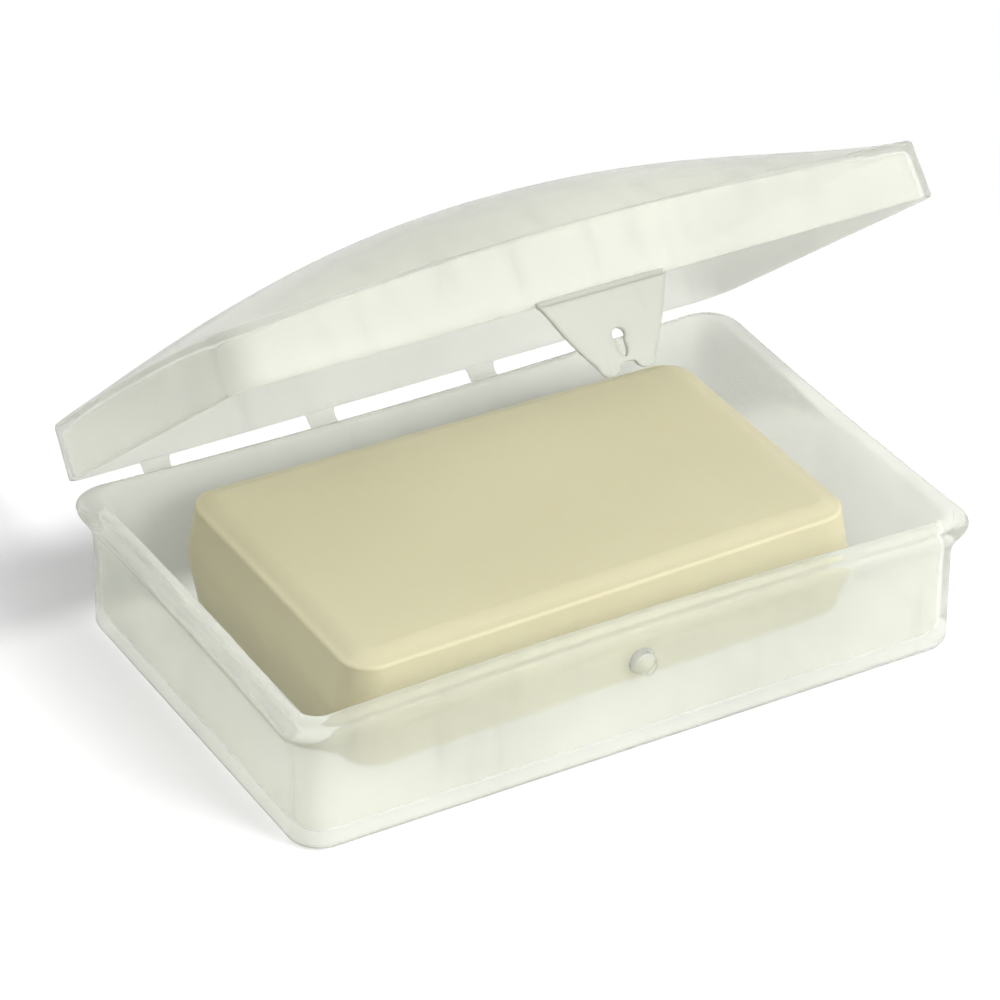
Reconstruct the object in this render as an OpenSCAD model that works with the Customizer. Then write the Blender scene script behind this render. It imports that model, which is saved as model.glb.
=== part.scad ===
// Travel soap box: a translucent tray with a bar of soap, a domed lid on four living-hinge straps,
// and a clasp tongue that snaps over a button. The lid is drawn open, as it rests.
// Origin: middle of the underside of the tray. X runs along the box, -Y is the front, Z is up.

/* [Tray] */
// Length of the tray over its plumb walls
tray_length = 108; // [95:1:125]
// Width of the tray over its plumb walls
tray_width = 69; // [62:1:80]
// Height of the tray's rim, where the lid seats
rim_top = 20.8; // [18:0.1:26]
// Thickness of the tray's walls
tray_wall = 1.6; // [1.2:0.1:2.2]
// Thickness of the tray's floor
floor_thickness = 1.6; // [1.2:0.1:2.4]
// Radius of the tray's upright corners, outside
corner_radius = 5.2; // [4:0.1:9]
// Radius of the edge between the floor and the walls, outside
foot_radius = 1; // [0.4:0.1:1.5]

/* [Rim] */
// How far the rim stands out from the walls
rim_overhang = 2; // [1.6:0.1:3]
// Height of the flared part under the rim
flare_height = 4.6; // [3:0.1:6]
// Height of the rim's plumb outer edge
rim_edge = 1.5; // [1:0.1:2]
// Bevel on the rim's upper outer edge
rim_bevel = 0.4; // [0.1:0.05:0.5]
// Height of the thin lip that stands up inside the lid
lip_height = 1; // [0.6:0.1:2]

/* [Lid] */
// Thickness of the lid's skirt and panel
lid_wall = 1.4; // [1:0.1:1.5]
// Height of the lid's skirt at its corners
skirt_height = 8.1; // [6:0.1:12]
// How much higher the skirt is half way along the front and back
skirt_arch = 0.8; // [0.2:0.1:2]
// Rise of the domed panel over the skirt
dome_rise = 10.6; // [6:0.1:14]
// Gap between the closed lid and the rim
seat_gap = 0.1; // [0.05:0.05:0.3]
// How far the lid is open at rest, in degrees
open_angle = 39; // [20:1:70]

/* [Hinge] */
// Distance of the hinge line behind the rim
hinge_back = 1.05; // [0.6:0.05:1.5]
// Depth of the hinge line below the rim's top
hinge_drop = 0.2; // [0:0.1:1]
// Width of a hinge strap
strap_width = 4.6; // [3:0.1:6]
// Thickness of a hinge strap
strap_thickness = 0.5; // [0.3:0.05:0.7]
// Depth of a strap's middle below the rim's top
strap_drop = 0.95; // [0.85:0.05:1.2]
// Distance of the outer straps' middles from the ends of the tray
strap_inset = 13.2; // [8:0.1:22]

/* [Clasp] */
// Width of the clasp tongue at its root
tongue_width = 20; // [14:0.5:30]
// Width of the tongue where its lobes begin
tongue_tip_width = 9; // [8:0.5:12]
// Length of the tongue from its root to the middle of its lobes
tongue_length = 10.6; // [9.5:0.1:13]
// Thickness of the tongue
tongue_thickness = 0.8; // [0.6:0.1:1.2]
// Outward lean of the tongue at rest, in degrees
tongue_lean = 11; // [5:1:20]
// Inward lean of the tongue when it is latched, in degrees
latch_lean = 4; // [1:0.5:5]
// Thickness of the web between the lid's skirt and the tongue
web_thickness = 0.3; // [0.25:0.05:0.5]
// Height of that web above the skirt's lower edge
web_height = 0.6; // [0.4:0.1:1]
// Radius of the lobes at the tongue's tip
lobe_radius = 1.75; // [1.3:0.05:1.9]
// Distance between the middles of the two lobes
lobe_spacing = 5.6; // [4.6:0.1:6]
// Distance from the tongue's root to the middle of its opening
opening_drop = 6.9; // [5.5:0.1:7.2]
// Width of the slit below the opening
slit_width = 1.2; // [0.6:0.1:2]
// Length of the slit from the middle of the opening
slit_length = 3; // [2.6:0.1:3.2]
// Radius of the catch button
button_radius = 1.6; // [1:0.1:2]
// Length of the catch button from the wall
button_length = 2.3; // [1.8:0.1:2.5]
// Rounding of the catch button's tip
button_rounding = 0.5; // [0.2:0.1:0.8]
// Clearance round the button in the tongue's opening
button_clearance = 0.3; // [0.15:0.05:0.5]

/* [Soap] */
// Length of the bar of soap
soap_length = 85; // [70:1:88]
// Width of the bar of soap
soap_width = 53; // [45:1:57]
// Height of the bar of soap
soap_height = 20.4; // [15:0.1:23]
// Radius of the bar's upright corners
soap_corner = 7.5; // [6.5:0.5:12]
// How far the bar's sides lean in from its middle to its faces
soap_draft = 1.6; // [0.5:0.1:2.2]
// Rounding of the edge between a side and a face
soap_rounding = 1.2; // [0.6:0.1:2]
// Width of the sloping border round a face
soap_border = 4; // [2:0.1:4.2]
// Rise of a face over that border
soap_crown = 1.1; // [0.4:0.1:2]
// Height of the plumb band round the bar's middle
soap_band = 1.2; // [0.6:0.1:3]
// Place of the bar toward the right end of the tray
soap_right = 0.9; // [-3:0.1:3]
// Place of the bar toward the back of the tray
soap_back = 1.8; // [-2:0.1:2]

/* [Hidden] */
// Number of segments on round shapes
$fn = 64;
// Rings of the domed panel
dome_rings = 7;
// Steps of the panel's outline round a corner, along a long side and along a short side
dome_corner_steps = 5;
dome_long_steps = 12;
dome_short_steps = 8;
// Powers that set how flat the dome is along and across
dome_power_x = 2;
dome_power_y = 3;
// Steps of the soap's rounded edges
soap_steps = 6;
// Overlap that fuses pieces of one solid
fuse = 0.6;
// Margin of the cutting shapes
margin = 1;

// Shared outline of the rim and the lid
rim_length = tray_length + 2 * rim_overhang;
rim_width = tray_width + 2 * rim_overhang;
rim_radius = corner_radius + rim_overhang;
rim_back = rim_width / 2;
wall_front = -tray_width / 2;
// Inside of the tray
inner_length = tray_length - 2 * tray_wall;
inner_width = tray_width - 2 * tray_wall;
inner_radius = corner_radius - tray_wall;
// Fine step at the crease between the skirt and the panel
crease_step = 0.12;
// Distance from the lid's outline to the inside of the panel's collar
collar_inset = lid_wall - crease_step;
// Lower edge of the closed lid
lid_base = rim_top + seat_gap;
lid_length = rim_length;
lid_width = rim_width;
lid_radius = rim_radius;
// Hinge line
hinge_y = rim_back + hinge_back;
hinge_z = rim_top - hinge_drop;
// Back lower edge of the lid, seen from the hinge line: closed, then as the lid rests
edge_back = -hinge_back;
edge_up = lid_base - hinge_z;
edge_y = hinge_y + edge_back * cos(open_angle) + edge_up * sin(open_angle);
edge_z = hinge_z - edge_back * sin(open_angle) + edge_up * cos(open_angle);
// Strap: a flat run from the rim, then a bend round the lid's lower edge
strap_z = rim_top - strap_drop;
bend_radius = edge_z - strap_z;
strap_run = edge_y - rim_back;
strap_places = [-1.5, -0.5, 0.5, 1.5];
strap_pitch = (tray_length - 2 * strap_inset) / 3;
// Clasp: the tongue turns about a line at the top of its inner face
tongue_pivot_y = -lid_width / 2 - web_thickness;
tongue_pivot_z = lid_base + web_height;
opening_radius = button_radius + button_clearance;
// The button stands where the tongue's opening comes when the clasp is shut
button_z = tongue_pivot_z - opening_drop * cos(latch_lean);
// Half of the soap's height
soap_middle = soap_height / 2;

// Height of the domed panel over the lid's lower edge, u and w run from -1 to 1 over the lid
function dome_z(u, w) =
    skirt_height + skirt_arch * (1 - u * u)
    + dome_rise * (1 - pow(abs(u), dome_power_x)) * (1 - pow(abs(w), dome_power_y));

// Flat rectangle with round corners
module rounded_outline(length, width, radius) {
    square([length - 2 * radius, width], center = true);
    square([length, width - 2 * radius], center = true);
    for (x = [-1, 1], y = [-1, 1])
        translate([x * (length / 2 - radius), y * (width / 2 - radius)])
            circle(r = radius);
}

// Upright block with round corners
module rounded_block(length, width, radius, height) {
    linear_extrude(height = height)
        rounded_outline(length, width, radius);
}

// Carries a flat profile round a rounded rectangle; the profile's x is measured from the corner's middle
module carried_round(length, width, radius) {
    reach_x = length / 2 - radius;
    reach_y = width / 2 - radius;
    for (turn = [0, 1, 2, 3]) {
        along = turn % 2 == 0 ? reach_x : reach_y;
        out = turn % 2 == 0 ? reach_y : reach_x;
        rotate(turn * 90)
            translate([0, out, 0])
                rotate([90, 0, 90])
                    linear_extrude(height = 2 * along, center = true)
                        children();
        rotate(turn * 90)
            translate([along, out, 0])
                rotate_extrude(angle = 90)
                    children();
    }
}

// Section of the flared rim, from inside the wall to its outer edge
module rim_section() {
    polygon([
        [corner_radius - fuse, rim_top],
        [corner_radius - fuse, rim_top - flare_height],
        [corner_radius, rim_top - flare_height],
        [rim_radius, rim_top - rim_edge],
        [rim_radius, rim_top - rim_bevel],
        [rim_radius - rim_bevel, rim_top]
    ]);
}

// Section of the corner that is taken off the tray's lower edge
module foot_section() {
    difference() {
        translate([corner_radius - foot_radius, -margin])
            square([foot_radius + margin, foot_radius + margin]);
        translate([corner_radius - foot_radius, foot_radius])
            circle(r = foot_radius);
    }
}

// Lower box with its walls, flared rim and upstand lip
module base_tray() {
    color([0.86, 0.87, 0.82])
        difference() {
            union() {
                rounded_block(tray_length, tray_width, corner_radius, rim_top + lip_height);
                carried_round(tray_length, tray_width, corner_radius)
                    rim_section();
            }
            translate([0, 0, floor_thickness])
                rounded_block(inner_length, inner_width, inner_radius, rim_top + lip_height);
            carried_round(tray_length, tray_width, corner_radius)
                foot_section();
        }
}

// Round stud on the front wall that holds the clasp
module catch_button() {
    straight = button_length - button_rounding;
    color([0.88, 0.89, 0.86])
        translate([0, wall_front, button_z])
            rotate([90, 0, 0]) {
                cylinder(r = button_radius, h = straight);
                translate([0, 0, straight])
                    cylinder(r1 = button_radius, r2 = button_radius - button_rounding, h = button_rounding);
            }
}

// Side view of a strap: y to the right, z upward
module strap_section() {
    half = strap_thickness / 2;
    reach = bend_radius + strap_thickness + margin;
    translate([rim_back, strap_z - half])
        square([strap_run + half, strap_thickness]);
    translate([edge_y, edge_z])
        difference() {
            circle(r = bend_radius + half);
            circle(r = bend_radius - half);
            translate([-reach, -reach])
                square([reach, 2 * reach]);
            rotate(90 - open_angle)
                square([reach, reach]);
        }
}

// One living-hinge strap, counted from the left end
module hinge_strap(number) {
    color([0.80, 0.81, 0.76])
        translate([strap_places[number] * strap_pitch, 0, 0])
            rotate([90, 0, 90])
                linear_extrude(height = strap_width, center = true)
                    strap_section();
}

module hinge_strap_1() {
    hinge_strap(0);
}

module hinge_strap_2() {
    hinge_strap(1);
}

module hinge_strap_3() {
    hinge_strap(2);
}

module hinge_strap_4() {
    hinge_strap(3);
}

// Points round one corner of an outline, from its start angle
function corner_points(x, y, radius, start) =
    [
        for (step = [0:dome_corner_steps])
            let (angle = start + 90 * step / dome_corner_steps)
                [x + radius * cos(angle), y + radius * sin(angle)]
    ];

// Points between the ends of one side, without the ends
function side_points(from, to, steps) =
    [for (step = [1:steps - 1]) from + (to - from) * step / steps];

// Points round a rounded rectangle, starting on the right
function outline_points(length, width, radius) =
    let (x = length / 2 - radius, y = width / 2 - radius)
        concat(
            corner_points(x, y, radius, 0),
            side_points([x, y + radius], [-x, y + radius], dome_long_steps),
            corner_points(-x, y, radius, 90),
            side_points([-x - radius, y], [-x - radius, -y], dome_short_steps),
            corner_points(-x, -y, radius, 180),
            side_points([-x, -y - radius], [x, -y - radius], dome_long_steps),
            corner_points(x, -y, radius, 270),
            side_points([x + radius, -y], [x + radius, y], dome_short_steps)
        );

// Rings of points on the dome, lowered by a drop, from near the middle out to the outline
function ring_points(outline, drop) =
    [
        for (ring = [1:dome_rings], corner = outline)
            let (p = sin(90 * ring / dome_rings) * corner)
                [p[0], p[1], dome_z(2 * p[0] / lid_length, 2 * p[1] / lid_width) - drop]
    ];

// Domed panel with a short collar that stands in the skirt's wall
module dome_panel() {
    outer = outline_points(
        lid_length - 2 * crease_step, lid_width - 2 * crease_step, lid_radius - crease_step
    );
    inner = outline_points(
        lid_length - 2 * collar_inset, lid_width - 2 * collar_inset, lid_radius - collar_inset
    );
    n = len(outer);
    last = (dome_rings - 1) * n;
    inside = dome_rings * n + 1;
    foot = 2 * inside;
    collar_z = skirt_height - fuse;
    polyhedron(
        points = concat(
            ring_points(outer, 0),
            [[0, 0, dome_z(0, 0)]],
            ring_points(inner, lid_wall),
            [[0, 0, dome_z(0, 0) - lid_wall]],
            [for (p = outer) [p[0], p[1], collar_z]],
            [for (p = inner) [p[0], p[1], collar_z]]
        ),
        faces = [
            for (i = [0:n - 1])
                let (j = (i + 1) % n)
                    each concat(
                        [[dome_rings * n, j, i], [inside + dome_rings * n, inside + i, inside + j]],
                        [
                            for (k = [0:dome_rings - 2])
                                let (a = k * n, b = a + n)
                                    each [
                                        [a + i, a + j, b + i],
                                        [a + j, b + j, b + i],
                                        [inside + a + i, inside + b + i, inside + a + j],
                                        [inside + a + j, inside + b + i, inside + b + j]
                                    ]
                        ],
                        [
                            [last + i, last + j, foot + i],
                            [last + j, foot + j, foot + i],
                            [foot + i, foot + j, foot + n + i],
                            [foot + j, foot + n + j, foot + n + i],
                            [foot + n + i, foot + n + j, inside + last + i],
                            [foot + n + j, inside + last + j, inside + last + i]
                        ]
                    )
        ]
    );
}

// Moves a closed-lid shape to the open lid's place
module opened() {
    translate([0, hinge_y, hinge_z])
        rotate([-open_angle, 0, 0])
            translate([0, -hinge_y, lid_base - hinge_z])
                children();
}

// Skirt and domed panel, closed at height 0
module lid_shell() {
    difference() {
        rounded_block(lid_length, lid_width, lid_radius, skirt_height);
        translate([0, 0, -margin])
            rounded_block(
                lid_length - 2 * lid_wall, lid_width - 2 * lid_wall, lid_radius - lid_wall,
                skirt_height + 2 * margin
            );
    }
    dome_panel();
}

module lid() {
    color([0.84, 0.85, 0.81])
        opened()
            lid_shell();
}

// Thin flexible line between the skirt and the leaning tongue
module clasp_web() {
    spread = web_height * tan(tongue_lean);
    color([0.82, 0.83, 0.79])
        opened()
            rotate([90, 0, 90])
                linear_extrude(height = tongue_width, center = true)
                    polygon([
                        [-lid_width / 2, 0],
                        [-lid_width / 2, web_height],
                        [-lid_width / 2 - web_thickness, web_height],
                        [-lid_width / 2 - web_thickness - spread, 0]
                    ]);
}

// Disc standing through the tongue, which it passes by a margin on both faces
module tongue_disc(x, y, radius, over) {
    translate([x, y, -over])
        cylinder(r = radius, h = tongue_thickness + 2 * over);
}

// Tongue lying flat, with its root at y = 0 and its inner face at z = 0
module flat_tongue() {
    tip = -tongue_length;
    difference() {
        union() {
            linear_extrude(height = tongue_thickness)
                polygon([
                    [-tongue_width / 2, 0],
                    [-tongue_tip_width / 2, tip],
                    [tongue_tip_width / 2, tip],
                    [tongue_width / 2, 0]
                ]);
            for (side = [-1, 1])
                tongue_disc(side * lobe_spacing / 2, tip, lobe_radius, 0);
        }
        tongue_disc(0, -opening_drop, opening_radius, margin);
        translate([-slit_width / 2, -opening_drop - slit_length, -margin])
            cube([slit_width, slit_length, tongue_thickness + 2 * margin]);
        tongue_disc(0, tip - lobe_radius / 2, lobe_spacing / 2 - lobe_radius, margin);
    }
}

// Tapered tongue with two lobes and an opening for the button
module clasp_tongue() {
    color([0.89, 0.90, 0.86])
        opened()
            translate([0, tongue_pivot_y, web_height])
                rotate([90 - tongue_lean, 0, 0])
                    flat_tongue();
}

// Section of the bar's upper half at its edge, from its middle height to its face
module soap_section() {
    turn_x = soap_corner - soap_draft - soap_rounding;
    turn_z = soap_middle - soap_crown - soap_rounding;
    polygon(concat(
        [
            [0, 0],
            [soap_corner, 0],
            [soap_corner, soap_band / 2]
        ],
        [
            for (step = [0:soap_steps])
                let (angle = 90 * step / soap_steps)
                    [turn_x + soap_rounding * cos(angle), turn_z + soap_rounding * sin(angle)]
        ],
        [
            [turn_x + soap_rounding - soap_border, soap_middle],
            [0, soap_middle]
        ]
    ));
}

// Upper half of the bar, standing on its middle height
module soap_half() {
    core_length = soap_length - 2 * soap_corner;
    core_width = soap_width - 2 * soap_corner;
    carried_round(soap_length, soap_width, soap_corner)
        soap_section();
    linear_extrude(height = soap_middle)
        square([core_length, core_width], center = true);
}

// Bar of soap with leaning sides and a plumb band round its middle
module soap_bar() {
    color([0.80, 0.78, 0.64])
        translate([soap_right, soap_back, floor_thickness + soap_middle]) {
            soap_half();
            rotate([180, 0, 0])
                soap_half();
        }
}

base_tray();
catch_button();
hinge_strap_1();
hinge_strap_2();
hinge_strap_3();
hinge_strap_4();
lid();
clasp_web();
clasp_tongue();
soap_bar();
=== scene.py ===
"""Looks of the travel soap box: milky shells, hinge straps, clasp and soap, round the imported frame."""
import math

import bpy
import numpy as np
from mathutils import Matrix, Vector


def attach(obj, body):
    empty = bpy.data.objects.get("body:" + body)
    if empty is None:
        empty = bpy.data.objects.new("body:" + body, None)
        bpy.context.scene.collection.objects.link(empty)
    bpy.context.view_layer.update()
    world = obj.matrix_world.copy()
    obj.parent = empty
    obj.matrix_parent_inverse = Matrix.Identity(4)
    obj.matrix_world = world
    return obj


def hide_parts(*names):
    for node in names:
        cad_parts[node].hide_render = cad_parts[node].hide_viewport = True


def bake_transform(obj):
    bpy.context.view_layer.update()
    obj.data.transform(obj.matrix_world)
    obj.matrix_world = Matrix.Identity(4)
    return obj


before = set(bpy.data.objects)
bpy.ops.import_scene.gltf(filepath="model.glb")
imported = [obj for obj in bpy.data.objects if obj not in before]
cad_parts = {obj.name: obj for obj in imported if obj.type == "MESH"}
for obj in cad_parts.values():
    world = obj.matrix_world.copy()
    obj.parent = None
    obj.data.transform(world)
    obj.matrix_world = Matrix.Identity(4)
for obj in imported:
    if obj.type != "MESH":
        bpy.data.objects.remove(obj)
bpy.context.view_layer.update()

MM = 0.001

# ---------------------------------------------------------------- measures, in mm
WALL_X, WALL_Y = 54.0, 34.5                  # tray: half length and half width over its plumb walls
WALL_CORNER = 5.2
TRAY_WALL, TRAY_FLOOR = 1.6, 1.6
RIM_Z = 20.8                                 # height of the rim's top, under the lip
RIM_X, RIM_Y, RIM_CORNER = 56.0, 36.0, 5.8   # the rim's outer edge at its corners
RIM_OUT = 2.0                                # how far the rim stands out past the wall
FLARE_FROM = 14.0                            # height under which the wall keeps its plain outline
BOW_LONG, BOW_SHORT = 1.5, 0.6               # how far the rim's sides draw in at mid-length

LID_X, LID_Y, LID_CORNER = 56.2, 36.95, 5.6  # the skirt's lower edge: half length, half width, corner
LID_WALL = 1.4
LID_RIGHT, LID_BACK = 0.3, -0.45             # the lid sits a little to the right and towards the front
LID_BOW = 0.45                               # how far its long sides draw in at mid-length
LID_LEAN = 0.3                               # how far the skirt leans in from its lower edge to the crease
LID_CREASE, LID_HOLLOW = 0.7, 1.0            # radii of the crease outside and of the hollow corner inside
LID_EDGE = 0.3                               # rounding of the skirt's lower edge
SKIRT, SKIRT_ARCH = 8.2, 0.7                 # height of the skirt at its ends, and what mid-length adds
CROSS, RISE = 0.6, 9.8                       # rise of the dome: all along, and what mid-length adds
LONG_POWER, CROSS_POWER = 2.1, 3.0           # how full the dome is along and across
OPEN = math.radians(39.0)                    # the photographed opening
HINGE_Y, HINGE_Z = 37.55, 20.6               # the line about which the lid turns
LID_BASE = 20.9                              # height of the shut lid's lower edge

SOAP_X, SOAP_Y = 42.6, 26.5                  # half length and half width
SOAP_CORNER = 6.0
SOAP_H = 20.4
SOAP_RIGHT, SOAP_BACK = 0.95, 1.8            # the bar lies a little to the right and to the back
SOAP_FACE = 2.1                              # how far in from the bar's outline its crease lies
SOAP_CROWN = 1.4                             # how far the middle of a face stands over its edge
SOAP_LEVEL = 8.4                             # height over the middle from which a face is crowned
SOAP_TAPER = 0.035                           # share by which it narrows to the right and widens to the left

STRAP_PITCH, STRAP_SAG = 27.2, 0.5
STRAP_HALF_W, STRAP_HALF_T = 2.2, 0.19       # half width at mid-length, and half thickness
STRAP_FLARE = 0.4                            # what the half width gains at both ends
STRAP_TUCK = 0.35                            # how far a strap's end is let into the rim
STRAP_IN, STRAP_UP = 0.75, 0.2               # its other end, in from the skirt and over its edge

ROOT_Y = LID_Y - LID_BACK                    # the skirt's front, measured forwards from the middle
LATCH_ROOT = 0.6                             # height of the latched tongue's root over the shut lid's edge
LATCH_LEAN = math.radians(4)                 # slope of the latched tongue
BUTTON_IN = 0.85                             # how far the button starts inside the front wall
KEYHOLE_DOWN, KEYHOLE_R = 6.9, 0.95          # the keyhole's round end: down from the root, and radius
KEYHOLE_TAIL = 2.2                           # how far its slot reaches on from the round end
TONGUE_IN, TONGUE_TOP = 0.15, 0.2            # the tongue's root, in from the skirt and over its edge
TONGUE_HALF_T = 0.42
TONGUE_LEAN = math.radians(2)                # its slope outwards from the skirt
WEB_HALF_W, WEB_HALF_T, WEB_HALF_H = 10.0, 0.24, 0.5
WEB_IN, WEB_TOP = 0.25, 0.35                 # its middle in from the skirt, and its first bent height
WEB_TAPER = 0.15                             # share by which its section shrinks at both ends

FLOOR_R, FLOOR_DROP = 900.0, 0.05            # the floor's radius, and how far it lies under the foot
CORNER_STEPS, SIDE_STEPS = 14, (44, 27)      # points on each round corner, and between corners
LEAST_RADIUS = 0.4                           # no corner is drawn tighter than this


# ---------------------------------------------------------------- mesh helpers
def grid_object(name, rings, closed_ends=(True, True), joined=False):
    """Skin over rings of points.

    rings has the shape (rows, points, 3), in mm. Each ring is closed, and tied to the next one by quads.
    An end that is closed gets a pole: a fan of triangles to the mean of its ring. joined ties the last ring
    back to the first, as on a torus. Quads face outwards when the rings run anticlockwise seen from above
    and the rows run from the bottom outwards and up."""
    rows, cols, _ = rings.shape
    verts = rings.reshape(-1, 3) * MM
    r, c = np.meshgrid(np.arange(rows if joined else rows - 1), np.arange(cols), indexing="ij")
    nxt_r, nxt_c = (r + 1) % rows, (c + 1) % cols
    quads = np.stack([r * cols + c, r * cols + nxt_c, nxt_r * cols + nxt_c, nxt_r * cols + c], -1)
    quads = quads.reshape(-1, 4)
    loops = [quads.reshape(-1)]
    sizes = [np.full(len(quads), 4)]
    uv_u = np.stack([c, c + 1, c + 1, c], -1).reshape(-1) / cols
    uv_v = np.stack([r, r, r + 1, r + 1], -1).reshape(-1) / rows
    uvs = [np.stack([uv_u, uv_v], 1)]
    i = np.arange(cols)
    if not joined:
        for end, row in ((0, 0), (1, rows - 1)):
            if not closed_ends[end]:
                continue
            pole = len(verts)
            verts = np.vstack([verts, rings[row].mean(0)[None] * MM])
            here, after = row * cols + i, row * cols + (i + 1) % cols
            pair = [after, here] if end == 0 else [here, after]
            loops.append(np.stack([*pair, np.full(cols, pole)], 1).reshape(-1))
            sizes.append(np.full(cols, 3))
            uvs.append(np.stack([np.repeat(i / cols, 3), np.full(3 * cols, float(end))], 1))
    loops, sizes, uvs = np.concatenate(loops), np.concatenate(sizes), np.concatenate(uvs)
    mesh = bpy.data.meshes.new(name)
    mesh.vertices.add(len(verts))
    mesh.vertices.foreach_set("co", verts.astype(np.float32).reshape(-1))
    mesh.loops.add(len(loops))
    mesh.loops.foreach_set("vertex_index", loops.astype(np.int32))
    mesh.polygons.add(len(sizes))
    starts = np.concatenate([[0], np.cumsum(sizes)[:-1]])
    mesh.polygons.foreach_set("loop_start", starts.astype(np.int32))
    mesh.polygons.foreach_set("use_smooth", np.ones(len(sizes), bool))
    mesh.update(calc_edges=True)
    layer = mesh.uv_layers.new(name="UVMap")
    layer.data.foreach_set("uv", uvs.astype(np.float32).reshape(-1))
    mesh.validate()
    obj = bpy.data.objects.new(name, mesh)
    bpy.context.scene.collection.objects.link(obj)
    return obj


def arc(centre, radius, start, end, steps):
    """Points on a circle's arc, angles in degrees."""
    a = np.radians(np.linspace(start, end, steps))
    return np.stack([centre[0] + radius * np.cos(a), centre[1] + radius * np.sin(a)], 1)


def filled_out(value, power):
    """sign(value) |value|^power: with a sine or a cosine, it fills a circle out towards a square."""
    return np.sign(value) * np.abs(value) ** power


def refine(points, step):
    """A polyline with no piece longer than step."""
    out = [points[:1]]
    for p, q in zip(points[:-1], points[1:]):
        n = max(1, int(math.ceil(np.linalg.norm(q - p) / step)))
        t = np.linspace(0, 1, n + 1)[1:, None]
        out.append(p + (q - p) * t)
    return np.vstack(out)


def rounded(half_x, half_y, radius):
    """Points round a rectangle with round corners, anticlockwise from the right, as many whatever its size.
    half_x, half_y and radius may be numbers or columns with a value for each of several rings."""
    half_x, half_y, radius = [np.atleast_1d(np.asarray(v, float)) for v in (half_x, half_y, radius)]
    cx, cy = half_x - radius, half_y - radius
    signs = [(1, 1, 0), (-1, 1, 90), (-1, -1, 180), (1, -1, 270)]
    parts = []
    for k, (sx, sy, a0) in enumerate(signs):
        a = np.radians(np.linspace(a0, a0 + 90, CORNER_STEPS))
        x = (sx * cx)[:, None] + radius[:, None] * np.cos(a)
        y = (sy * cy)[:, None] + radius[:, None] * np.sin(a)
        parts.append(np.stack(np.broadcast_arrays(x, y), 2))
        nx, ny, _ = signs[(k + 1) % 4]
        t = np.linspace(0, 1, SIDE_STEPS[k % 2] + 2)[1:-1]
        edge = np.radians(a0 + 90)
        x0, x1 = sx * cx + radius * np.cos(edge), nx * cx + radius * np.cos(edge)
        y0, y1 = sy * cy + radius * np.sin(edge), ny * cy + radius * np.sin(edge)
        parts.append(np.stack([x0[:, None] + (x1 - x0)[:, None] * t,
                               y0[:, None] + (y1 - y0)[:, None] * t], 2))
    return np.concatenate(parts, 1)


def carried(profile, half_x, half_y, radius):
    """Rings of a rounded rectangle for each (d, z) of a profile: grown by d, at height z."""
    d, z = profile[:, 0], profile[:, 1]
    ring = rounded(half_x + d, half_y + d, np.maximum(radius + d, LEAST_RADIUS))
    return np.concatenate([ring, np.repeat(z[:, None], ring.shape[1], 1)[..., None]], 2)


def shrunk(ring, shares):
    """Copies of a flat ring, drawn in towards the middle by the given shares."""
    out = np.repeat(ring[None], len(shares), 0).copy()
    out[..., :2] *= np.array(shares)[:, None, None]
    return out


# ---------------------------------------------------------------- the tray
def tray_bow(points):
    """The rim's sides draw in softly at mid-length: y shrinks by bow (1 - u^2) and x by bow (1 - w^2), both
    times (z / rim height)^1.6, where u and w run from -1 to 1 along and across the tray."""
    u, w = points[..., 0] / WALL_X, points[..., 1] / WALL_Y
    lift = np.clip(points[..., 2] / RIM_Z, 0, 1) ** 1.6
    out = points.copy()
    out[..., 1] -= BOW_LONG * np.clip(1 - u * u, 0, 1) * lift * w
    out[..., 0] -= BOW_SHORT * np.clip(1 - w * w, 0, 1) * lift * u
    return out


def tray_profile():
    """Section of the wall as (outset, height): up the outside over foot, flare, rim edge and lip, and down
    the inside to the floor. Every edge is an arc."""
    outside = np.vstack([
        [[-2.4, 0.0]],
        arc((-1.2, 1.2), 1.2, -90, 0, 9),
        refine(np.array([[0.0, 1.4], [0.0, 14.7]]), 1.6),
        [[0.03, 15.4], [0.1, 16.0], [0.25, 16.7], [0.55, 17.45], [0.95, 18.15]],
        [[1.35, 18.75], [1.65, 19.2], [1.84, 19.6], [1.95, 20.0]],
        arc((1.4, 20.22), 0.6, 5, 88, 8),
        [[1.1, 20.83], [0.75, 20.84], [0.5, 20.88], [0.32, 21.0], [0.2, 21.2]],
        arc((-0.5, 21.15), 0.65, 18, 90, 6),
        [[-0.8, 21.8]],
        arc((-1.0, 21.2), 0.6, 90, 180, 7),
    ])
    inside = np.vstack([
        refine(np.array([[-TRAY_WALL, 21.0], [-TRAY_WALL, 3.9]]), 1.5),
        arc((-3.4, 3.4), 1.8, 0, -90, 9),
    ])
    return np.vstack([outside, inside])


def make_tray():
    """Tray: the wall's section carried round the plan, closed by a floor of drawn-in rings above and below.
    The flare widens to the rim's own outline, whose corners are tighter than a plain offset."""
    profile = tray_profile()
    rings = carried(profile, WALL_X, WALL_Y, WALL_CORNER)
    share = np.clip(profile[:, 0] / RIM_OUT, 0, 1)
    share = np.where(profile[:, 1] > FLARE_FROM, share, 0)[:, None, None]
    d = profile[:, 0] - RIM_OUT
    rim = rounded(RIM_X + d, RIM_Y + d, np.maximum(RIM_CORNER + 0.4 * d, LEAST_RADIUS))
    rings[..., :2] = rings[..., :2] * (1 - share) + rim * share
    shares = np.linspace(0.06, 0.94, 12)
    below = shrunk(rings[0], shares)
    above = shrunk(rings[-1], shares[::-1])
    rings = tray_bow(np.concatenate([below, rings, above]))
    obj = grid_object("tray_shell", rings)
    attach(obj, "base")
    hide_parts("base_tray")
    return obj


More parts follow.
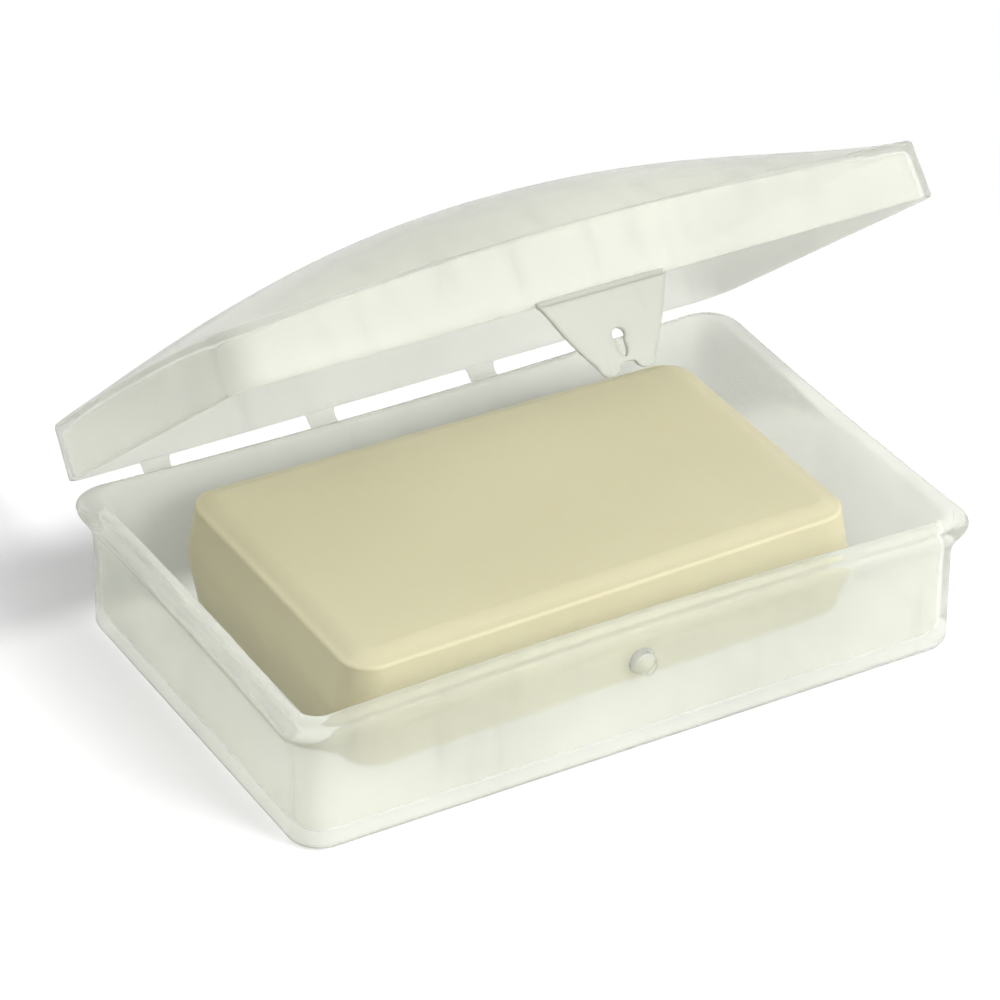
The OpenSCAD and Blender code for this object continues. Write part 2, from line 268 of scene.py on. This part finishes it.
# ---------------------------------------------------------------- the lid
def dome(u, w):
    """Height of the lid over its lower edge, with u and w from -1 to 1 along and across:
    skirt + arch (1 - u^2) + (cross + rise (1 - |u|^2.1)) (1 - |w|^3)."""
    across = 1 - np.abs(w) ** CROSS_POWER
    along = 1 - np.abs(u) ** LONG_POWER
    return SKIRT + SKIRT_ARCH * (1 - u * u) + CROSS * across + RISE * along * across


def opened(points):
    """Closed-lid coordinates, with z = 0 at the lid's lower edge, turned by 39 degrees about the hinge."""
    y = points[..., 1] - HINGE_Y
    z = points[..., 2] + LID_BASE - HINGE_Z
    out = points.copy()
    out[..., 1] = HINGE_Y + y * math.cos(OPEN) + z * math.sin(OPEN)
    out[..., 2] = HINGE_Z - y * math.sin(OPEN) + z * math.cos(OPEN)
    return out


def lid_rings():
    """Lid section rings from the dome's top, over the crease, down the skirt, round its lower edge and back
    inside. The dome lies on outlines drawn in towards the middle, and the crease is a small arc between it
    and the skirt, which leans in a little. Their order is turned about, to begin inside."""
    def ring(outset, share=1.0):
        flat = rounded(LID_X + outset, LID_Y + outset, max(LID_CORNER + outset, LEAST_RADIUS))[0] * share
        flat[:, 1] -= LID_BOW * np.clip(1 - (flat[:, 0] / LID_X) ** 2, 0, 1) * flat[:, 1] / LID_Y
        return flat

    def on_dome(xy, drop):
        return dome(xy[:, 0] / LID_X, xy[:, 1] / LID_Y) - drop

    def add(xy, z):
        rows.append(np.column_stack([xy, np.broadcast_to(z, len(xy))]))

    rows = []
    shares = np.sin(np.radians(np.linspace(3, 90, 30)))
    face = -LID_LEAN - LID_CREASE
    for share in shares:
        add(ring(face, share), on_dome(ring(face, share), 0.0))
    edge_z = rows[-1][:, 2]
    for turn in np.radians((18, 36, 54, 72, 90)):
        add(ring(face + LID_CREASE * math.sin(turn)), edge_z - LID_CREASE * (1 - math.cos(turn)))
    skirt_top = edge_z - LID_CREASE
    for f in (0.85, 0.65, 0.45, 0.25, 0.1, 0.0):
        add(ring(-LID_LEAN * f), LID_EDGE + (skirt_top - LID_EDGE) * f)
    for outset, z in ((-0.1, 0.09), (-0.3, 0.0), (-LID_WALL + 0.3, 0.0), (-LID_WALL + 0.1, 0.09)):
        add(ring(outset), z)
    hollow = -LID_WALL - LID_LEAN - LID_HOLLOW
    inner_top = on_dome(ring(hollow), LID_WALL)
    for f in (0.0, 0.15, 0.35, 0.55, 0.75, 0.93):
        add(ring(-LID_WALL - LID_LEAN * f), LID_EDGE + (inner_top - LID_HOLLOW - LID_EDGE) * f)
    for turn in np.radians((15, 40, 65)):
        add(ring(hollow + LID_HOLLOW * math.cos(turn)), inner_top - LID_HOLLOW * (1 - math.sin(turn)))
    for share in shares[::-1]:
        add(ring(hollow, share), on_dome(ring(hollow, share), LID_WALL))
    return np.array(rows)[::-1] + np.array([LID_RIGHT, LID_BACK, 0.0])


def make_lid():
    """Lid shell, in its open place."""
    obj = grid_object("lid_shell", opened(lid_rings()))
    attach(obj, "lid")
    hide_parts("lid")
    return obj


# ---------------------------------------------------------------- the soap
def soap_half_profile():
    """Section of the bar's upper half as (outset, height over the middle): a plumb band, a side that leans
    in, the rounded crease and the edge of the face."""
    return np.vstack([
        [[0.0, 0.0], [-0.02, 0.6]],
        refine(np.array([[-0.1, 1.4], [-1.15, 7.5]]), 0.9),
        arc((-1.85, 7.65), 0.7, 5, 75, 8),
        [[-2.1, 8.45], [-2.5, 8.64], [-3.0, 8.84], [-3.6, 9.02], [-4.4, 9.18]],
    ])


def make_soap():
    """Bar of soap: rounded-rectangle rings, leaning sides, a crease round each face, and pillow faces whose
    height over the edge is 1.4 (1 - |u|^6) (1 - |w|^3.2), with u and w from -1 to 1 across the face."""
    half = SOAP_H / 2
    upper = soap_half_profile()
    profile = np.vstack([upper[::-1] * np.array([1, -1]), upper[1:]])
    rings = carried(profile, SOAP_X, SOAP_Y, SOAP_CORNER)
    shares = np.sin(np.radians(np.linspace(3, 86, 24)))
    bottom = shrunk(rings[0], shares)
    top = shrunk(rings[-1], shares[::-1])
    rings = np.concatenate([bottom, rings, top])
    u = np.clip(np.abs(rings[..., 0]) / (SOAP_X - SOAP_FACE), 0, 1)
    w = np.clip(np.abs(rings[..., 1]) / (SOAP_Y - SOAP_FACE), 0, 1)
    crown = SOAP_CROWN * (1 - u ** 6) * (1 - w ** 3.2)
    level = rings[..., 2]
    low = np.where(level < -SOAP_LEVEL, np.maximum(level - crown, -half), level)
    rings[..., 2] = np.where(level > SOAP_LEVEL, level + crown, low)
    rings[..., 1] *= 1 - SOAP_TAPER * np.clip(rings[..., 0] / SOAP_X, -1, 1)
    rings += np.array([SOAP_RIGHT, SOAP_BACK, TRAY_FLOOR + half])
    obj = grid_object("soap", rings)
    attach(obj, "soap")
    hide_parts("soap_bar")
    return obj


# ---------------------------------------------------------------- straps, button, web and tongue
def make_strap(number, x):
    """Strap: a thin flat oval section carried from the rim's edge to the lid's lower back edge. Its line
    sags by sag sin(pi t), and its half width gains flare |2t - 1|^4, with t from 0 to 1 along it."""
    start = np.array([RIM_Y - STRAP_TUCK - BOW_LONG * (1 - (x / WALL_X) ** 2), RIM_Z - STRAP_TUCK])
    end = opened(np.array([[0.0, LID_Y + LID_BACK - STRAP_IN, STRAP_UP]]))[0, 1:]
    t = np.linspace(0, 1, 15)
    line = start + (end - start) * t[:, None]
    line[:, 1] -= STRAP_SAG * np.sin(np.pi * t)
    tangent = np.gradient(line, axis=0)
    tangent /= np.linalg.norm(tangent, axis=1)[:, None]
    up = np.stack([-tangent[:, 1], tangent[:, 0]], 1)
    half_w = STRAP_HALF_W + STRAP_FLARE * np.abs(2 * t - 1) ** 4
    a = np.radians(np.arange(0, 360, 15))
    side = half_w[:, None] * filled_out(np.cos(a), 0.25)
    lift = STRAP_HALF_T * filled_out(np.sin(a), 0.5)
    rings = np.stack([x + side, line[:, :1] + lift * up[:, :1], line[:, 1:] + lift * up[:, 1:]], 2)
    obj = grid_object(f"strap_{number}", rings)
    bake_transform(obj)
    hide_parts(f"hinge_strap_{number}")
    return obj


def make_button():
    """Catch button: a section of (radius, height) turned about -Y, with a fillet and a domed tip."""
    z0 = LID_BASE + LATCH_ROOT - KEYHOLE_DOWN * math.cos(LATCH_LEAN)
    profile = np.vstack([
        [[2.1, 0.0]],
        [[1.85, 0.12], [1.7, 0.3], [1.62, 0.6], [1.6, 1.0], [1.6, 1.6]],
        arc((0.8, 1.6), 0.75, 0, 80, 8),
        [[0.6, 2.37], [0.3, 2.4]],
    ])
    a = np.radians(np.arange(0, 360, 10))
    rings = np.stack([
        profile[:, :1] * np.cos(a),
        -(WALL_Y - BUTTON_IN + profile[:, 1:]) + 0 * a,
        z0 + profile[:, :1] * np.sin(a),
    ], 2)
    obj = grid_object("button", rings)
    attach(obj, "base")
    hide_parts("catch_button")
    return obj


def lid_to_world(x, y, z):
    """Closed-lid points, given as arrays, in their open place."""
    return opened(np.stack(np.broadcast_arrays(x, y, z), -1).astype(float))


def tongue_outline():
    """Front view of the tongue, from its right root round the two lobes to its left root: (x, s), with s
    measured down from the root."""
    right = [[10.1, 0.5], [9.6, 1.3], [8.9, 2.8], [7.95, 5.0], [6.8, 7.1], [5.6, 9.1], [4.75, 10.3]]
    lobe = arc((2.85, 10.6), 1.65, 5, 165, 14)
    notch = np.array([[1.0, 10.85], [0.0, 10.7]])
    half = np.vstack([right, lobe, notch])
    left = half[:-1][::-1] * np.array([-1, 1])
    return np.vstack([half, left])


def make_tongue():
    """Clasp tongue: a plate between its outline and its keyhole, leaning out by 2 degrees.

    The plate is a ring-shaped surface: rows go from the keyhole's edge to the outline on the outer face,
    round the rim and back on the inner face to the keyhole, so it closes like a torus. The keyhole is a
    circle whose radius gains tail sin(a)^14 downwards. A row is (share of the way out, height)."""
    outline = tongue_outline()
    loop = np.vstack([outline, outline[:1]])
    run = np.concatenate([[0], np.cumsum(np.linalg.norm(np.diff(loop, axis=0), axis=1))])
    even = np.linspace(0, run[-1], 160, endpoint=False)
    outer = np.stack([np.interp(even, run, loop[:, 0]), np.interp(even, run, loop[:, 1])], 1)
    a = np.unwrap(np.arctan2(outer[:, 1] - KEYHOLE_DOWN, outer[:, 0]))
    hole_r = KEYHOLE_R + KEYHOLE_TAIL * np.clip(np.sin(a), 0, 1) ** 14
    hole = np.stack([hole_r * np.cos(a), KEYHOLE_DOWN + hole_r * np.sin(a)], 1)
    face = [(0.0, 0.55), (0.02, 0.85), (0.05, 1.0), (0.3, 1.0),
            (0.6, 1.0), (0.9, 1.0), (0.97, 0.85), (1.0, 0.5)]
    share, lift = np.array(face + [(share, -lift) for share, lift in face[::-1]]).T[..., None, None]
    flat = hole + (outer - hole) * share
    x, down = flat[..., 0], flat[..., 1]
    out = TONGUE_HALF_T * (1 + lift[..., 0])
    y = -(ROOT_Y - TONGUE_IN) - out * math.cos(TONGUE_LEAN) - down * math.sin(TONGUE_LEAN)
    z = TONGUE_TOP - down * math.cos(TONGUE_LEAN) - out * math.sin(TONGUE_LEAN)
    obj = grid_object("tongue", lid_to_world(x, y, z), joined=True)
    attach(obj, "tongue")
    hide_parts("clasp_tongue")
    return obj


def make_web():
    """Web at the tongue's root: a thin rounded strip between the skirt and the tongue. Its section shrinks
    by taper |x / half width|^8 towards its ends."""
    a = np.radians(np.arange(0, 360, 20))
    x = np.linspace(-WEB_HALF_W, WEB_HALF_W, 41)[:, None]
    spread = 1 - WEB_TAPER * np.abs(x / WEB_HALF_W) ** 8
    y = -(ROOT_Y - WEB_IN) + WEB_HALF_T * spread * filled_out(np.cos(a), 0.5)
    z = WEB_HALF_H * spread * filled_out(np.sin(a), 0.5)
    obj = grid_object("web", lid_to_world(x, y, z))
    top, low = lid_to_world(0.0, -(ROOT_Y - WEB_IN), np.array([WEB_TOP, -WEB_HALF_H])) * MM
    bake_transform(obj)
    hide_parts("clasp_web")
    return obj


# ---------------------------------------------------------------- materials
MIX_FIRST, MIX_SECOND, MIX_RESULT = 6, 7, 2  # a Mix node's colour sockets


def add_node(tree, kind, values=None, **settings):
    """A new node with its settings, and with the values of its inputs, each by name or number."""
    node = tree.nodes.new("ShaderNode" + kind)
    for setting, value in settings.items():
        setattr(node, setting, value)
    for socket, value in (values or {}).items():
        node.inputs[socket].default_value = value
    return node


def wire(tree, *pairs):
    """Links for pairs of an output and an input."""
    for start, end in pairs:
        tree.links.new(start, end)


def node_setup(name):
    """A material with an empty node tree and its output."""
    material = bpy.data.materials.new(name)
    material.use_nodes = True
    material.node_tree.nodes.clear()
    return material, material.node_tree, add_node(material.node_tree, "OutputMaterial")


def node_group(name, inputs, outputs):
    """An empty shader node group with named inputs and outputs, and its two end nodes."""
    group = bpy.data.node_groups.new(name, "ShaderNodeTree")
    for side, sockets in (("INPUT", inputs), ("OUTPUT", outputs)):
        for label, kind in sockets.items():
            group.interface.new_socket(label, in_out=side, socket_type="NodeSocket" + kind)
    return group, group.nodes.new("NodeGroupInput"), group.nodes.new("NodeGroupOutput")


def make_marks_group():
    """Shade of milky plastic: wide faint clouds (0.9 to 1) times thin upright scuffs (1 down to 0.945). The
    clouds are plain noise, and the scuffs are noise that changes fast along x and slowly along y and z."""
    group, start, end = node_group("milky_marks", {"Vector": "Vector", "Seed": "Float"}, {"Shade": "Float"})
    clouds = add_node(group, "TexNoise", {"Scale": 28.0, "Detail": 3.0}, noise_dimensions="4D")
    cloudy = add_node(group, "MapRange", {"From Min": 0.3, "From Max": 0.7, "To Min": 0.9, "To Max": 1.0})
    stretch = add_node(group, "Mapping", {"Scale": (420.0, 60.0, 45.0)})
    scuffs = add_node(group, "TexNoise", {"Scale": 1.0, "Detail": 2.0})
    worn = add_node(group, "MapRange", {"From Min": 0.58, "From Max": 0.7, "To Min": 1.0, "To Max": 0.945})
    both = add_node(group, "Math", operation="MULTIPLY")
    wire(group,
         (start.outputs["Vector"], clouds.inputs["Vector"]),
         (start.outputs["Seed"], clouds.inputs["W"]),
         (clouds.outputs["Fac"], cloudy.inputs["Value"]),
         (start.outputs["Vector"], stretch.inputs["Vector"]),
         (stretch.outputs["Vector"], scuffs.inputs["Vector"]),
         (scuffs.outputs["Fac"], worn.inputs["Value"]),
         (cloudy.outputs["Result"], both.inputs[0]),
         (worn.outputs["Result"], both.inputs[1]),
         (both.outputs["Value"], end.inputs["Shade"]))
    return group


def make_ripple_group():
    """Normal of a surface that isn't quite even: fine noise, read as height."""
    group, start, end = node_group(
        "surface_ripple",
        {"Vector": "Vector", "Scale": "Float", "Detail": "Float", "Strength": "Float", "Distance": "Float"},
        {"Normal": "Vector"})
    noise = add_node(group, "TexNoise")
    bump = add_node(group, "Bump")
    wire(group,
         *((start.outputs[label], noise.inputs[label]) for label in ("Vector", "Scale", "Detail")),
         *((start.outputs[label], bump.inputs[label]) for label in ("Strength", "Distance")),
         (noise.outputs["Fac"], bump.inputs["Height"]),
         (bump.outputs["Normal"], end.inputs["Normal"]))
    return group


MARKS, RIPPLE = make_marks_group(), make_ripple_group()


def plastic(name, colour, transmission, roughness, ior, seed=0.0):
    """Milky polypropylene: see-through with a rough inside, part of its light scattered by the body colour.
    The colour is shaded by the marks, and the surface has fine ripples, both in object coordinates."""
    material, tree, out = node_setup(name)
    shader = add_node(tree, "BsdfPrincipled",
                      {"Roughness": roughness, "IOR": ior, "Transmission Weight": transmission})
    coord = add_node(tree, "TexCoord")
    marks = add_node(tree, "Group", {"Seed": seed}, node_tree=MARKS)
    tint = add_node(tree, "Mix", {0: 1.0, MIX_FIRST: (*colour, 1)}, data_type="RGBA", blend_type="MULTIPLY")
    ripple = add_node(tree, "Group", {"Scale": 160.0, "Detail": 2.0, "Strength": 0.15, "Distance": 0.0001},
                      node_tree=RIPPLE)
    wire(tree,
         (coord.outputs["Object"], marks.inputs["Vector"]),
         (coord.outputs["Object"], ripple.inputs["Vector"]),
         (marks.outputs["Shade"], tint.inputs[MIX_SECOND]),
         (tint.outputs[MIX_RESULT], shader.inputs["Base Color"]),
         (ripple.outputs["Normal"], shader.inputs["Normal"]),
         (shader.outputs["BSDF"], out.inputs["Surface"]))
    return material


def soap_material():
    """Soap: cream body with faint streaks, light scattered below its surface, a soft satin gloss and a
    slightly uneven face."""
    material, tree, out = node_setup("soap_cream")
    shader = add_node(tree, "BsdfPrincipled", {
        "Roughness": 0.47, "IOR": 1.46, "Specular IOR Level": 0.35,
        "Coat Weight": 0.05, "Coat Roughness": 0.28,
        "Subsurface Weight": 0.35, "Subsurface Radius": (0.004, 0.003, 0.0018), "Subsurface Scale": 1.0,
    })
    coord = add_node(tree, "TexCoord")
    streaks = add_node(tree, "TexNoise", {"Scale": 35.0, "Detail": 4.0})
    body = add_node(tree, "Mix", {MIX_FIRST: (0.41, 0.38, 0.25, 1), MIX_SECOND: (0.45, 0.425, 0.295, 1)},
                    data_type="RGBA")
    ripple = add_node(tree, "Group", {"Scale": 90.0, "Detail": 3.0, "Strength": 0.35, "Distance": 0.0002},
                      node_tree=RIPPLE)
    wire(tree,
         (coord.outputs["Object"], streaks.inputs["Vector"]),
         (coord.outputs["Object"], ripple.inputs["Vector"]),
         (streaks.outputs["Fac"], body.inputs[0]),
         (body.outputs[MIX_RESULT], shader.inputs["Base Color"]),
         (ripple.outputs["Normal"], shader.inputs["Normal"]),
         (shader.outputs["BSDF"], out.inputs["Surface"]))
    return material


# ---------------------------------------------------------------- floor and surroundings, in metres
# Each zone is (where it begins, where it is full), along y or x, or out from the middle.
BEHIND_BOX = (0.030, 0.040)                  # y: the back shadow begins, a real shadow made deeper by paper painted darker
OPEN_BACK = (0.048, 0.063)                   # y: past this, the camera sees the light floor again
OPEN_RIGHT = (0.045, 0.060)                  # x: the same, to the right
LEFT_END = (-0.082, -0.052)                  # x: the painted back shadow fades out to the left of this
UNDER_BOX = (-0.057, -0.047)                 # x: left of this lies the left shadow; right of it, under and before the box, the paper glows with painted light
PAST_LEFT = (0.052, 0.085)                   # y: the left shadow, and the paper painted darker under it, end here
FAR_OUT = (0.09, 0.17)                       # from the middle: plain white beyond


def straight_seen(tree, path):
    """1 where the eye meets a surface straight on, in a reflection or through the plastic, and 0 for
    scattered light."""
    total = path.outputs["Is Camera Ray"]
    for kind in ("Is Glossy Ray", "Is Transmission Ray"):
        either = add_node(tree, "Math", operation="MAXIMUM")
        wire(tree, (total, either.inputs[0]), (path.outputs[kind], either.inputs[1]))
        total = either.outputs["Value"]
    return total


def blended(tree, share, one, other):
    """One shader where share is 0, the other where it is 1."""
    mix = add_node(tree, "MixShader")
    wire(tree, (share, mix.inputs[0]), (one, mix.inputs[1]), (other, mix.inputs[2]))
    return mix.outputs["Shader"]


def paper(tree, lit, own):
    """Paper that is part lit by the lamps and part painted light: a glow of its own, which no lamp gives.
    """
    diffuse = add_node(tree, "BsdfDiffuse", {"Color": (lit, lit, lit, 1)})
    glow = add_node(tree, "Emission", {"Color": (own, own, own, 1)})
    both = add_node(tree, "AddShader")
    wire(tree, (diffuse.outputs["BSDF"], both.inputs[0]), (glow.outputs["Emission"], both.inputs[1]))
    return both.outputs["Shader"]


def floor_material():
    """White floor with painted light and shade: deep shadows to the left of the box, real ones on paper
    painted darker, and at its back, where darker paper paints the shadow deeper; light ones under and
    before it, where the paper glows with painted light that stands for the light the plastic lets through;
    and plain white farther out, dimmer for the light it scatters."""
    material, tree, out = node_setup("white_floor")
    # Papers: left of the box, real shadow on paper painted darker; at its back, painted shade; under it,
    # painted glow.
    real_and_painted_shade_left, real_and_painted_shade_back, under = paper(tree, 0.73, 0.0), paper(tree, 0.5, 0.0), paper(tree, 0.13, 0.88)
    glow = add_node(tree, "Emission", {"Color": (1, 1, 1, 1)})
    dim = add_node(tree, "Emission", {"Color": (0.7, 0.7, 0.69, 1)})
    path, coord = add_node(tree, "LightPath"), add_node(tree, "TexCoord")
    parts, reach = add_node(tree, "SeparateXYZ"), add_node(tree, "VectorMath", operation="LENGTH")
    wire(tree, (coord.outputs["Object"], parts.inputs[0]), (coord.outputs["Object"], reach.inputs[0]))

    def soft_step(value, zone):
        step = add_node(tree, "MapRange", {"From Min": zone[0], "From Max": zone[1]},
                        interpolation_type="SMOOTHSTEP")
        wire(tree, (value, step.inputs["Value"]))
        return step.outputs["Result"]

    def reckoned(operation, one, other):
        maths = add_node(tree, "Math", operation=operation, use_clamp=True)
        wire(tree, (one, maths.inputs[0]), (other, maths.inputs[1]))
        return maths.outputs["Value"]

    x, y = parts.outputs["X"], parts.outputs["Y"]
    bare = reckoned("MAXIMUM", soft_step(y, OPEN_BACK), soft_step(x, OPEN_RIGHT))
    bare = reckoned("MULTIPLY", path.outputs["Is Camera Ray"], bare)
    # near_back and close: share of the darker paper that paints the back shadow deeper
    near_back = reckoned("SUBTRACT", soft_step(y, BEHIND_BOX), bare)
    close = reckoned("MULTIPLY", near_back, soft_step(x, LEFT_END))
    # share of the paper that glows with painted light, against the darker paper to the left of the box
    not_beside = reckoned("MAXIMUM", soft_step(x, UNDER_BOX), soft_step(y, PAST_LEFT))
    floor = blended(tree, not_beside, real_and_painted_shade_left, under)
    floor = blended(tree, close, floor, real_and_painted_shade_back)
    away = blended(tree, straight_seen(tree, path), dim.outputs[0], glow.outputs[0])
    floor = blended(tree, soft_step(reach.outputs["Value"], FAR_OUT), floor, away)
    wire(tree, (floor, out.inputs["Surface"]))
    return material


def make_floor():
    """Round floor under the box."""
    share = np.array([0.02, 0.1, 0.3, 0.6, 1.0])[:, None]
    a = np.radians(np.arange(0, 360, 6))
    x, y = FLOOR_R * share * np.cos(a), FLOOR_R * share * np.sin(a)
    rings = np.stack([x, y, np.full(x.shape, -FLOOR_DROP)], 2)
    obj = grid_object("floor", rings[::-1], closed_ends=(False, True))
    obj.data.materials.append(floor_material())


def make_world():
    """White surroundings: pure white where the eye meets them, straight, mirrored or through the plastic,
    and softer for scattered light."""
    world = bpy.data.worlds.new("white_world")
    world.use_nodes = True
    tree = world.node_tree
    tree.nodes.clear()
    out = add_node(tree, "OutputWorld")
    seen = add_node(tree, "Background", {"Color": (1, 1, 1, 1)})
    lit = add_node(tree, "Background", {"Color": (0.62, 0.63, 0.64, 1)})
    share = straight_seen(tree, add_node(tree, "LightPath"))
    both = blended(tree, share, lit.outputs["Background"], seen.outputs["Background"])
    wire(tree, (both, out.inputs["Surface"]))
    bpy.context.scene.world = world


# ---------------------------------------------------------------- lamps and camera
def area_light(name, place, target, size, power, mirrored=True):
    """Square soft lamp that looks at a point; metres and watts. If not mirrored, it gives no highlights."""
    data = bpy.data.lights.new(name, "AREA")
    data.size = size
    data.energy = power
    lamp = bpy.data.objects.new(name, data)
    lamp.location = place
    lamp.rotation_mode = "QUATERNION"
    lamp.rotation_quaternion = (Vector(target) - Vector(place)).to_track_quat("-Z", "Y")
    lamp.visible_glossy = mirrored
    bpy.context.scene.collection.objects.link(lamp)


def make_camera():
    """Long lens from the front left, a little rolled, as fitted to the photograph: angles, distance in
    metres, focal length in pixels of the frame, and the point on its axis at that distance."""
    azimuth, elevation = math.radians(-30.1052905), math.radians(32.5925841)
    roll, distance, focal, frame_width = math.radians(0.54048), 0.826060929, 5039.57052, 1000.0
    target = Vector((0.0400248878, 0.0753085277, -0.0320998276))
    flat = math.cos(elevation)
    back = Vector((math.sin(azimuth) * flat, -math.cos(azimuth) * flat, math.sin(elevation)))
    right = (-back).cross(Vector((0, 0, 1))).normalized()
    up = right.cross(-back)
    right, up = (math.cos(roll) * right + math.sin(roll) * up,
                 -math.sin(roll) * right + math.cos(roll) * up)
    data = bpy.data.cameras.new("camera")
    data.sensor_width = 36.0
    data.lens = focal / frame_width * data.sensor_width
    data.clip_start, data.clip_end = 0.05, 20.0
    camera = bpy.data.objects.new("camera", data)
    camera.matrix_world = Matrix((right, up, back)).transposed().to_4x4()
    camera.location = target + back * distance
    bpy.context.scene.collection.objects.link(camera)
    bpy.context.scene.camera = camera


# ---------------------------------------------------------------- build
milky = plastic("milky_plastic_shell", (0.86, 0.87, 0.81), 0.83, 0.24, ior=1.12)
milky_thick = plastic("milky_plastic_solid", (0.54, 0.55, 0.49), 0.5, 0.3, ior=1.13, seed=3.0)
cream = soap_material()

pieces = [make_tray(), make_lid(), make_button(), make_web(), make_tongue()]
pieces += [make_strap(k + 1, (k - 1.5) * STRAP_PITCH) for k in range(4)]
for piece in pieces:
    piece.data.materials.append(milky_thick if piece.name in ("web", "tongue") else milky)
soap = make_soap()
soap.data.materials.append(cream)
for name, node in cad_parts.items():
    node.data.materials.clear()
    node.data.materials.append(cream if name == "soap_bar" else milky)

make_floor()
make_world()
area_light("key", (0.4, -0.72, 0.66), (0, 0, 0.02), 0.5, 9.0)
area_light("front", (0.42, -0.88, 0.3), (0, 0, 0.03), 0.6, 7.6, mirrored=False)
area_light("left", (-0.6, 0.38, 0.75), (0, 0, 0.05), 0.6, 5.6)
make_camera()
bpy.context.scene.view_settings.view_transform = "Standard"
